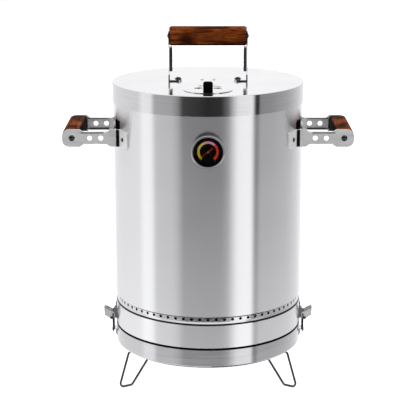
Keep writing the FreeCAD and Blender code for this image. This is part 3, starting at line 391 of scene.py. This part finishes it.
def print_ink(name, dark, light):
    """Screen-printed ink, a little uneven where the screen left it thin."""
    material, tree, shader = new_material(
        name, Roughness=0.6, IOR=1.45, Specular_IOR_Level=0.03)
    patches = grain(tree, (1.8, 1.8, 1.8), 2.0)
    wire_up(
        tree, shader,
        Base_Color=tint(tree, span(tree, patches, 0.0, 1.0), dark, light),
        Roughness=span(tree, patches, 0.54, 0.66),
    )
    return material


def float_glass():
    """Clear flat glass with a barely uneven surface, mostly see-through, so that the dial
    under it stays clear."""
    material, tree, shader = new_material(
        "glass_clear", Roughness=0.02, IOR=1.45, Transmission_Weight=1.0, Alpha=0.1)
    material.surface_render_method = "BLENDED"
    ripple = grain(tree, (18, 18, 18), 0.0)
    wire_up(
        tree, shader,
        Base_Color=tint(tree, ripple, "#f2f6f5", "#ffffff"),
        Normal=relief(tree, ripple, 0.02, 0.1),
    )
    return material


BARREL_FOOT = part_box("barrel_shell")[0].z
GROOVE_LOW = BARREL_FOOT + GROOVE_ABOVE_FOOT
GROOVE_HIGH = GROOVE_LOW + GROOVE_HEIGHT
brushed = brushed_stainless(GROOVE_LOW, GROOVE_HIGH, GRIP_UP, grip_high.y)
polished = buffed_stainless("stainless_polished", 0.5, 0.1)
half_polished = buffed_stainless("stainless_belt_polished", 0.8, 0.13, "#c4c4c8", "#cdcdd0")
bright_strip = buffed_stainless("stainless_bright_strip", 0.0, 0.14)
pressed = pressed_stainless()
leg_steel = drawn_wire("wire_drawn_steel", "#4c4c50", "#66666a", 0.3)
# Darkened steel: painted shade and painted dark reflections on the small fittings.
shade_dark_steel = drawn_wire("steel_darkened", "#3c3c40", "#55555a", 0.22)
# Near-black steel: painted shadow, for the arm folds and the thermometer case.
painted_shadow_steel = drawn_wire("steel_bend_shadow", "#101011", "#1a1a1c", 0.35)
bezel_steel = drawn_wire("stainless_bezel_satin", "#a2a2a7", "#b2b2b6", 0.34)
plated_wire = drawn_wire("wire_nickel_plated", "#b4b3ae", "#cfcec9", 0.16)
walnut_along_x = oiled_walnut(
    "walnut_oiled_lengthwise_x", "x", "Z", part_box("lid_grip")[0].z, LID_WOOD_SHADE_DEPTH)
walnut_along_y = oiled_walnut(
    "walnut_oiled_lengthwise_y", "y", "X", 0.0, grip_low.x + SIDE_WOOD_SHADE_DEPTH)
enamel = vitreous_enamel()
felt = seal_felt()
phenolic = moulded_black()
dial_black = print_ink("ink_black", "#050506", "#0c0c0d")
dial_white = print_ink("ink_white", "#55565a", "#6c6d70")
pointer_red = print_ink("paint_signal_red", "#8e2410", "#a83216")
hub_brass = drawn_wire("brass_lacquered", "#7c5a2e", "#957040", 0.3)
glass = float_glass()

SLOT_MATERIALS = {
    "brushed_stainless": brushed, "polished_stainless": polished,
    "pressed_stainless": pressed, "leg_wire": leg_steel, "grate_wire": plated_wire,
    "enamel": enamel, "gasket": felt, "hardwood": walnut_along_x, "black_tab": phenolic,
    "dial_face": dial_black, "needle_red": pointer_red, "lens_glass": glass,
}
for part in frame["record"]["subparts"]:
    node_materials = nodes[part["node"]].data.materials
    node_materials.clear()
    node_materials.append(SLOT_MATERIALS[part["material_slot"]])
nodes["base_bowl"].data.materials[0] = half_polished
# Fittings whose steel is brighter or darker than that of their slot.
BRIGHT_FITTINGS = (
    "lid_left_post", "lid_right_post",
    "left_latch_base", "right_latch_base", "left_catch", "right_catch",
)
# Painted shade: these fittings are darkened for the shade inside the latches and the dark
# reflections on small domed heads.
SHADE_DARK_FITTINGS = (
    "lid_post_bolts", "lid_post_nuts", "lid_grip_screws", "left_grip_screws",
    "right_grip_screws", "left_latch_pin", "right_latch_pin", "left_latch_bail",
    "right_latch_bail", "left_arm_rivets", "right_arm_rivets",
)
for names, steel in ((BRIGHT_FITTINGS, bright_strip), (SHADE_DARK_FITTINGS, shade_dark_steel)):
    for name in names:
        nodes[name].data.materials[0] = steel
# Painted shade: the stainless case takes the near-black shadow steel, for the dark crescent of
# its top side above the bezel.
nodes["thermometer_case"].data.materials[0] = painted_shadow_steel
nodes["thermometer_bezel"].data.materials[0] = bezel_steel


# ---- mesh helpers ------------------------------------------------------------------------
MERGE_DISTANCE = 0.001 * MM


def finish_piece(name, mesh_build, material, body, place=None, replaced=(), smooth=35.0):
    """Turns a bmesh into a piece of the object that rides on its body."""
    if place is not None:
        bmesh.ops.transform(mesh_build, matrix=place, verts=mesh_build.verts)
    bmesh.ops.remove_doubles(mesh_build, verts=mesh_build.verts, dist=MERGE_DISTANCE)
    bmesh.ops.recalc_face_normals(mesh_build, faces=mesh_build.faces)
    for face in mesh_build.faces:
        face.smooth = True
    for edge in mesh_build.edges:
        if len(edge.link_faces) == 2:
            edge.smooth = edge.calc_face_angle() < math.radians(smooth)
    mesh = bpy.data.meshes.new(name)
    mesh_build.to_mesh(mesh)
    mesh_build.free()
    mesh.materials.append(material)
    piece = bpy.data.objects.new(name, mesh)
    scene.collection.objects.link(piece)
    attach(piece, body)
    if replaced:
        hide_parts(*replaced)
    return piece


def box_middle(node):
    low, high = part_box(node)
    return (low + high) / 2.0


def rounded_edges(mesh_build, edges, radius, segments):
    bmesh.ops.bevel(
        mesh_build, geom=edges, offset=radius, offset_type="OFFSET", affect="EDGES",
        segments=segments, profile=0.5, material=-1, clamp_overlap=True)


# ---- wooden grips ------------------------------------------------------------------------
GRIP_ROUND = 7.0 * MM
GRIP_END_ROUND = 2.6 * MM


def wooden_grip(name, body, material, along):
    """A planed block with four rounded long edges and softened ends."""
    low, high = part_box(name)
    size = high - low
    grip = bmesh.new()
    bmesh.ops.create_cube(grip, size=1.0)
    bmesh.ops.scale(grip, vec=size, verts=grip.verts)

    def is_long(edge):
        run = edge.verts[1].co - edge.verts[0].co
        return abs(run[along]) > 0.9 * size[along]

    rounded_edges(grip, [edge for edge in grip.edges if is_long(edge)], GRIP_ROUND, 8)
    ends = [face for face in grip.faces if abs(face.normal[along]) > 0.9]
    end_edges = list({edge for face in ends for edge in face.edges})
    rounded_edges(grip, end_edges, GRIP_END_ROUND, 3)
    finish_piece(
        name + "_wood", grip, material, body,
        Matrix.Translation((low + high) / 2.0), [name], smooth=50.0)


wooden_grip("lid_grip", "lid", walnut_along_x, 0)
wooden_grip("left_grip", "barrel", walnut_along_y, 1)
wooden_grip("right_grip", "barrel", walnut_along_y, 1)

# ---- thermometer dial --------------------------------------------------------------------
dial_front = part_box("thermometer_dial")[0].y
DIAL_PLACE = (
    Matrix.Translation((0.0, dial_front, box_middle("thermometer_dial").z))
    @ Matrix.Rotation(math.radians(90.0), 4, "X")
)
INK_THICK = 0.06 * MM
SCALE_OUTER = 16.0 * MM
SCALE_INNER = 12.4 * MM
# The scale and each of its colours, in degrees counter-clockwise from three o'clock.
SCALE_START = 228.0
SCALE_END = -52.0
SCALE_COLOURS = {
    "cool": (SCALE_START, 158.0, "#b8a020", "#d8c23c"),
    "warm": (158.0, 104.0, "#cfb765", "#e0cb86"),
    "smoking": (104.0, 46.0, "#dc84a4", "#eaa0ba"),
    "hot": (46.0, SCALE_END, "#c62c10", "#e24a2c"),
}

# One flat face of a curved strip spans about this many degrees.
ARC_STEP = 3.0


def ring_sector(inner, outer, start, end, thick):
    """A flat strip of a ring between two angles, standing on z = 0."""
    strip = bmesh.new()
    corners = [strip.verts.new((radius, 0.0, z)) for radius, z in
               ((inner, 0.0), (outer, 0.0), (outer, thick), (inner, thick))]
    face = strip.faces.new(corners)
    bmesh.ops.rotate(
        strip, verts=strip.verts, matrix=Matrix.Rotation(math.radians(start), 3, "Z"))
    steps = max(4, int(abs(end - start) / ARC_STEP))
    bmesh.ops.spin(
        strip, geom=[face] + list(face.edges) + list(face.verts), cent=(0, 0, 0),
        axis=(0, 0, 1), angle=math.radians(end - start), steps=steps, use_merge=False)
    return strip


for colour_name, (start, end, dark, light) in SCALE_COLOURS.items():
    sector = ring_sector(SCALE_INNER, SCALE_OUTER, start, end, INK_THICK)
    ink = print_ink("ink_scale_" + colour_name, dark, light)
    finish_piece("dial_scale_" + colour_name, sector, ink, "barrel", DIAL_PLACE)


# ---- thermometer pointer: a stamped red needle on a brass hub ------------------------------
NEEDLE_ANGLE = 217.0
NEEDLE_REACH = 15.5 * MM
NEEDLE_TAIL = 9.0 * MM
BLADE_THICK = 0.4 * MM
BLADE_EDGE_ROUND = 0.07 * MM
POINTER_ROOT_WIDTH = 1.3 * MM
POINTER_TIP_WIDTH = 0.6 * MM
TAIL_ROOT_WIDTH = 1.5 * MM
TAIL_TIP_WIDTH = 2.2 * MM
HUB_RADIUS = 1.7 * MM
HUB_DEPTH = 0.8 * MM
HUB_ROUND = 0.2 * MM
HUB_UP = 0.35 * MM
SHAFT_RADIUS = 0.6 * MM
# How far the blades lie behind the front of the needle's own space.
NEEDLE_SEAT = 0.9 * MM
needle_low, needle_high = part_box("thermometer_needle")
NEEDLE_PLACE = (
    Matrix.Translation((0.0, needle_low.y + NEEDLE_SEAT, box_middle("thermometer_dial").z))
    @ Matrix.Rotation(math.radians(90.0), 4, "X")
)


def tapered_blade(reach, root, tip, thick):
    """A flat blade from the hub outward, standing on z = 0, its edges slightly broken."""
    blade = bmesh.new()
    bmesh.ops.create_cube(blade, size=1.0)
    bmesh.ops.scale(blade, vec=(reach, 1.0, thick), verts=blade.verts)
    bmesh.ops.translate(blade, vec=(reach / 2.0, 0.0, thick / 2.0), verts=blade.verts)
    for vert in blade.verts:
        vert.co.y *= tip if vert.co.x > reach / 2.0 else root
    rounded_edges(blade, blade.edges[:], BLADE_EDGE_ROUND, 2)
    return blade


def at_angle(angle, up=0.0):
    """The place of a needle piece that points at this angle and stands this far forward."""
    turn = Matrix.Rotation(math.radians(angle), 4, "Z")
    return NEEDLE_PLACE @ turn @ Matrix.Translation((0.0, 0.0, up))


pointer = tapered_blade(NEEDLE_REACH, POINTER_ROOT_WIDTH, POINTER_TIP_WIDTH, BLADE_THICK)
finish_piece(
    "needle_pointer", pointer, pointer_red, "needle", at_angle(NEEDLE_ANGLE),
    ["thermometer_needle"])
tail = tapered_blade(NEEDLE_TAIL, TAIL_ROOT_WIDTH, TAIL_TIP_WIDTH, BLADE_THICK)
finish_piece(
    "needle_tail", tail, pointer_red, "needle", at_angle(NEEDLE_ANGLE + 180.0))
hub = bmesh.new()
bmesh.ops.create_cone(
    hub, cap_ends=True, segments=40, radius1=HUB_RADIUS, radius2=HUB_RADIUS, depth=HUB_DEPTH)
hub_rim = [edge for edge in hub.edges if edge.calc_face_angle(0.0) > 1.0]
rounded_edges(hub, hub_rim, HUB_ROUND, 3)
finish_piece(
    "needle_hub", hub, hub_brass, "needle", at_angle(0.0, HUB_UP))
shaft_long = needle_high.y - needle_low.y - NEEDLE_SEAT
shaft = bmesh.new()
bmesh.ops.create_cone(
    shaft, cap_ends=True, segments=24, radius1=SHAFT_RADIUS, radius2=SHAFT_RADIUS,
    depth=shaft_long)
finish_piece(
    "needle_shaft", shaft, hub_brass, "needle", at_angle(0.0, -shaft_long / 2.0))

# ---- printed scale ticks -----------------------------------------------------------------
TICK_OUTER = 18.2 * MM
TICK_INNER = 17.0 * MM
TICK_COUNT = 15
TICK_STEP = (SCALE_START - SCALE_END) / (TICK_COUNT - 1)
TICK_HALF_WIDTH = 0.8
for index in range(TICK_COUNT):
    angle = SCALE_START - index * TICK_STEP
    tick = ring_sector(
        TICK_INNER, TICK_OUTER, angle + TICK_HALF_WIDTH, angle - TICK_HALF_WIDTH, INK_THICK)
    finish_piece(
        "dial_tick_%02d" % index, tick, dial_white, "barrel", DIAL_PLACE)

# ---- folds of the side arms: painted shadow strips in the bend between plate and leaf ------
FOLD_ROUND = 6.0 * MM
FOLD_HALF_HEIGHT = 13.2 * MM
LEAF_OUTER = 152.05 * MM
PLATE_FACE = 62.0 * MM
FOLD_POINTS = 9
FOLD_LAP = 0.4 * MM


def arm_fold_shadow(side_x, side_y):
    """A hollow-rounded strip that lies in the corner between an arm's plate and its leaf,
    near-black: a painted shadow in the bend.
    """
    centre_y = PLATE_FACE + FOLD_ROUND
    centre_x = math.sqrt((LEAF_OUTER + FOLD_ROUND) ** 2 - centre_y ** 2)
    corner_x = math.sqrt(LEAF_OUTER ** 2 - PLATE_FACE ** 2)
    start = math.radians(-90.0)
    end = math.atan2(-centre_y, -centre_x)
    outline = [(corner_x, PLATE_FACE - FOLD_LAP)]
    for index in range(FOLD_POINTS):
        angle = start + (end - start) * index / (FOLD_POINTS - 1)
        outline.append((centre_x + FOLD_ROUND * math.cos(angle),
                        centre_y + FOLD_ROUND * math.sin(angle)))
    strip = bmesh.new()
    corners = [
        strip.verts.new((side_x * x, side_y * y, GRIP_UP - FOLD_HALF_HEIGHT)) for x, y in outline
    ]
    face = strip.faces.new(corners)
    raised = bmesh.ops.extrude_face_region(strip, geom=[face])["geom"]
    moved = [item for item in raised if isinstance(item, bmesh.types.BMVert)]
    bmesh.ops.translate(strip, vec=(0.0, 0.0, 2.0 * FOLD_HALF_HEIGHT), verts=moved)
    return strip


for side_name, side_x in (("left", -1.0), ("right", 1.0)):
    for end_name, side_y in (("front", -1.0), ("rear", 1.0)):
        finish_piece(
            side_name + "_" + end_name + "_arm_fold_shadow", arm_fold_shadow(side_x, side_y), painted_shadow_steel,
            "barrel")

# ---- seal: the felt squeezed a little proud of the rim --------------------------------------
SEAL_PROUD = 0.9 * MM
SEAL_HALF_HEIGHT = 2.3 * MM
SEAL_INSET = 1.2 * MM
SEAL_SECTION_STEP = 24
SEAL_STEPS = 180
seal_low, seal_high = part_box("base_gasket")
seal_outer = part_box("base_bowl")[1].x
seal = bmesh.new()
section = [
    seal.verts.new((seal_outer - SEAL_INSET + (SEAL_INSET + SEAL_PROUD) * math.cos(turn),
                    0.0, SEAL_HALF_HEIGHT * math.sin(turn)))
    for turn in [math.radians(angle) for angle in range(0, 360, SEAL_SECTION_STEP)]
]
ring_face = seal.faces.new(section)
bmesh.ops.spin(
    seal, geom=[ring_face] + list(ring_face.edges) + section, cent=(0, 0, 0), axis=(0, 0, 1),
    angle=2.0 * math.pi, steps=SEAL_STEPS, use_merge=True)
inner_caps = [face for face in seal.faces if len(face.verts) > 4]
bmesh.ops.delete(seal, geom=inner_caps, context="FACES_ONLY")
finish_piece(
    "seal_lip", seal, felt, "base",
    Matrix.Translation((0.0, 0.0, (seal_low.z + seal_high.z) / 2.0)), smooth=60.0)


# ---- floor and light ---------------------------------------------------------------------
FLOOR_HALF = 6.0
FLOOR_GLOW = 0.75


def pale_floor():
    """A pale, matt studio floor."""
    material, tree, shader = new_material("studio_floor", Roughness=0.9)
    mottle = grain(tree, (400, 400, 400), 1.0)
    wire_up(tree, shader, Base_Color=tint(tree, mottle, "#fafafa", "#ffffff"))
    shader.inputs["Emission Color"].default_value = (1.0, 1.0, 1.0, 1.0)
    shader.inputs["Emission Strength"].default_value = FLOOR_GLOW
    return material


floor_mesh = bmesh.new()
bmesh.ops.create_grid(floor_mesh, x_segments=1, y_segments=1, size=FLOOR_HALF)
floor_data = bpy.data.meshes.new("floor")
floor_mesh.to_mesh(floor_data)
floor_mesh.free()
floor_data.materials.append(pale_floor())
floor = bpy.data.objects.new("floor", floor_data)
floor.visible_glossy = False
floor.visible_diffuse = False
scene.collection.objects.link(floor)

# The studio round the smoker: brightness of its panels by the angle from the front, in
# degrees, positive to the right. A dark gap faces the smoker and a narrow one stands right.
STUDIO_PANELS = [
    (-180, 1.12), (-150, 0.95), (-92, 0.88), (-84, 1.14), (-72, 1.1), (-66, 0.54), (-44, 0.5),
    (-36, 0.34), (-30, 0.07), (0, 0.03), (16, 0.04), (24, 0.2), (31, 0.72), (36, 1.05),
    (54, 1.14), (58, 0.03), (62, 0.03), (64.5, 0.33), (80, 0.36), (110, 0.52), (145, 0.9),
    (165, 1.1), (180, 1.12),
]
# Brightness straight down, of the floor, and of the ceiling straight above.
UNDERSIDE = 0.12
FLOOR_BOUNCE = 1.6
CEILING = 1.15
# Sines of the elevations between which the floor, the panels and the ceiling take over.
UNDERSIDE_RISE = (-0.85, -0.6)
FLOOR_RISE = (-0.48, -0.33)
CEILING_RISE = (0.5, 0.8)


def studio_world():
    world = bpy.data.worlds.new("studio")
    world.use_nodes = True
    tree = world.node_tree
    tree.nodes.clear()
    direction = add_node(tree, "ShaderNodeTexCoord").outputs["Generated"]
    split = add_node(tree, "ShaderNodeSeparateXYZ", {"Vector": direction}).outputs
    backward = add_node(tree, "ShaderNodeMath", {0: split["Y"], 1: -1.0}, operation="MULTIPLY")
    azimuth = add_node(
        tree, "ShaderNodeMath", {0: split["X"], 1: backward.outputs[0]}, operation="ARCTAN2")
    turn = add_node(
        tree, "ShaderNodeMapRange",
        {"Value": azimuth.outputs[0], "From Min": -math.pi, "From Max": math.pi})
    brightest = max(value for _, value in STUDIO_PANELS)
    stops = [
        (angle / 360.0 + 0.5, (value / brightest,) * 3 + (1.0,)) for angle, value in STUDIO_PANELS
    ]
    panels = add_node(tree, "ShaderNodeValToRGB", {"Fac": turn.outputs["Result"]}, stops)

    def rising(limits, below, above):
        rise = add_node(
            tree, "ShaderNodeMapRange",
            {"Value": split["Z"], "From Min": limits[0], "From Max": limits[1]})
        return add_node(
            tree, "ShaderNodeMix", {"Factor": rise.outputs["Result"], 6: below, 7: above},
            data_type="RGBA").outputs[2]

    def grey(value):
        return (value / brightest,) * 3 + (1.0,)

    lower = rising(UNDERSIDE_RISE, grey(UNDERSIDE), grey(FLOOR_BOUNCE))
    middle = rising(FLOOR_RISE, lower, panels.outputs["Color"])
    around = rising(CEILING_RISE, middle, grey(CEILING))
    studio = add_node(tree, "ShaderNodeBackground", {"Color": around, "Strength": brightest})
    plain = add_node(tree, "ShaderNodeBackground", {"Color": (1, 1, 1, 1), "Strength": 1.0})
    seen = add_node(tree, "ShaderNodeLightPath").outputs["Is Camera Ray"]
    either = add_node(
        tree, "ShaderNodeMixShader",
        {0: seen, 1: studio.outputs["Background"], 2: plain.outputs["Background"]})
    add_node(tree, "ShaderNodeOutputWorld", {"Surface": either.outputs["Shader"]})
    scene.world = world


studio_world()
scene.view_settings.view_transform = "Standard"
